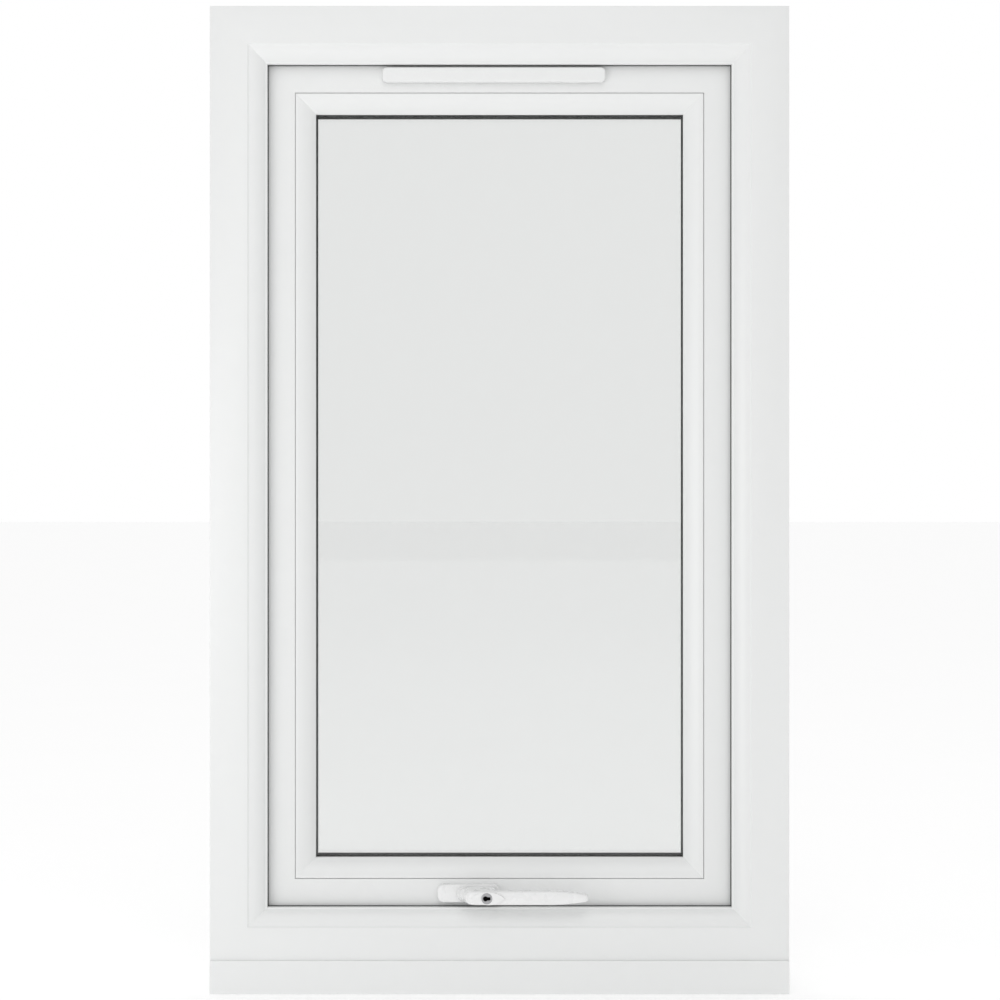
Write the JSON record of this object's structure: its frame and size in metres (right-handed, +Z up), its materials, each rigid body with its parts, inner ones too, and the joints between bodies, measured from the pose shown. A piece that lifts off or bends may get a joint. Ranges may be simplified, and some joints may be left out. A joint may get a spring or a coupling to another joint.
{
  "type": "top hung window",
  "caption": "Top hung casement window in a white hollow-profile frame with sealed double glazing, trickle vent, lever handle, sill, friction stays and a geared locking rod.",
  "frame": {"origin": "middle of the sill's underside, below the frame's room face", "axes": "+X right as seen from the room, +Y outward, +Z up"},
  "size_m": [0.61, 0.1742, 1.04],
  "materials": {
    "white_upvc": "smooth white, slightly glossy",
    "black_rubber": "matte black",
    "clear_glass": "clear float glass",
    "spacer_aluminium": "matt",
    "packer_plastic": "plain moulded",
    "stay_steel": "brushed stainless",
    "shoe_brass": "plain",
    "screw_steel": "bright",
    "plated_steel": "zinc plated",
    "white_handle": "white powder coat, satin gloss",
    "lock_chrome": "bright nickel"
  },
  "bodies": {
    "root": {"outer_frame": "white_upvc", "frame_gasket": "black_rubber", "sill": "white_upvc", "sill_end_cap_left": "white_upvc", "sill_end_cap_right": "white_upvc", "drain_covers": "white_upvc", "stay_track_left": "stay_steel", "stay_track_right": "stay_steel", "stay_fixed_rivets": "stay_steel", "stay_track_screws": "screw_steel", "keeps": "plated_steel", "keep_screws": "screw_steel"},
    "sash": {"sash_frame": "white_upvc", "sash_gasket": "black_rubber", "inner_pane": "clear_glass", "outer_pane": "clear_glass", "spacer_bar": "spacer_aluminium", "edge_sealant": "black_rubber", "inner_glazing_gasket": "black_rubber", "outer_glazing_gasket": "black_rubber", "glazing_packers": "packer_plastic", "glazing_bead_bottom": "white_upvc", "glazing_bead_top": "white_upvc", "glazing_bead_left": "white_upvc", "glazing_bead_right": "white_upvc", "sash_bar_left": "stay_steel", "sash_bar_right": "stay_steel", "stay_head_rivets": "stay_steel", "stay_arm_rivets": "stay_steel", "sash_bar_screws": "screw_steel", "espag_faceplate": "plated_steel", "faceplate_screws": "screw_steel", "gearbox_case": "plated_steel", "handle_plate": "plated_steel", "handle_screws": "screw_steel", "handle_cover": "white_handle", "vent_base": "white_upvc", "vent_canopy": "white_upvc"},
    "link_left": {"stay_link_left": "stay_steel"},
    "link_right": {"stay_link_right": "stay_steel"},
    "arm_left": {"stay_arm_left": "stay_steel"},
    "arm_right": {"stay_arm_right": "stay_steel"},
    "shoe_left": {"stay_shoe_left": "shoe_brass"},
    "shoe_right": {"stay_shoe_right": "shoe_brass"},
    "handle": {"handle_lever": "white_handle", "handle_spindle": "plated_steel", "pinion": "plated_steel"},
    "lock": {"lock_barrel": "lock_chrome"},
    "drive": {"drive_rod": "plated_steel", "locking_cams": "plated_steel"},
    "vent_flap_body": {"vent_flap": "white_upvc"}
  },
  "joints": [
    {"name": "link_left_turn", "type": "hinge", "parent": "root", "child": "link_left", "pos_m": [-0.2585, 0.05, 0.925], "axis": [-1, 0, 0], "range_deg": [0, 40]},
    {"name": "sash_swing", "type": "hinge", "parent": "link_left", "child": "sash", "pos_m": [-0.2585, 0.05, 0.975], "axis": [1, 0, 0], "range_deg": [0, 80]},
    {"name": "link_right_turn", "type": "hinge", "parent": "root", "child": "link_right", "pos_m": [0.2585, 0.05, 0.925], "axis": [-1, 0, 0], "range_deg": [0, 40]},
    {"name": "arm_left_turn", "type": "hinge", "parent": "sash", "child": "arm_left", "pos_m": [-0.2585, 0.05, 0.805], "axis": [1, 0, 0], "range_deg": [-80, 0]},
    {"name": "arm_right_turn", "type": "hinge", "parent": "sash", "child": "arm_right", "pos_m": [0.2585, 0.05, 0.805], "axis": [1, 0, 0], "range_deg": [-80, 0]},
    {"name": "shoe_left_turn", "type": "hinge", "parent": "arm_left", "child": "shoe_left", "pos_m": [-0.2585, 0.05, 0.585], "axis": [1, 0, 0], "range_deg": [0, 40]},
    {"name": "shoe_right_turn", "type": "hinge", "parent": "arm_right", "child": "shoe_right", "pos_m": [0.2585, 0.05, 0.585], "axis": [1, 0, 0], "range_deg": [0, 40]},
    {"name": "handle_turn", "type": "hinge", "parent": "sash", "child": "handle", "pos_m": [-0.0327, 0, 0.1037], "axis": [0, -1, 0], "range_deg": [0, 90]},
    {"name": "lock_turn", "type": "hinge", "parent": "handle", "child": "lock", "pos_m": [-0.0132, -0.02, 0.1037], "axis": [0, -1, 0], "range_deg": [0, 90]},
    {"name": "drive_slide", "type": "slide", "parent": "sash", "child": "drive", "axis": [1, 0, 0], "range_m": [0, 0.01414]},
    {"name": "vent_tip", "type": "hinge", "parent": "sash", "child": "vent_flap_body", "pos_m": [-0.0066, 0.019, 0.9664], "axis": [1, 0, 0], "range_deg": [0, 25]}
  ],
  "couplings": [
    {"joint": "sash_swing", "follows": "link_left_turn", "ratio": 2},
    {"joint": "link_right_turn", "follows": "link_left_turn", "ratio": 1},
    {"joint": "arm_left_turn", "follows": "link_left_turn", "ratio": -2},
    {"joint": "arm_right_turn", "follows": "link_left_turn", "ratio": -2},
    {"joint": "shoe_left_turn", "follows": "link_left_turn", "ratio": 1},
    {"joint": "shoe_right_turn", "follows": "link_left_turn", "ratio": 1},
    {"joint": "drive_slide", "follows": "handle_turn", "m_per_rad": 0.009}
  ]
}
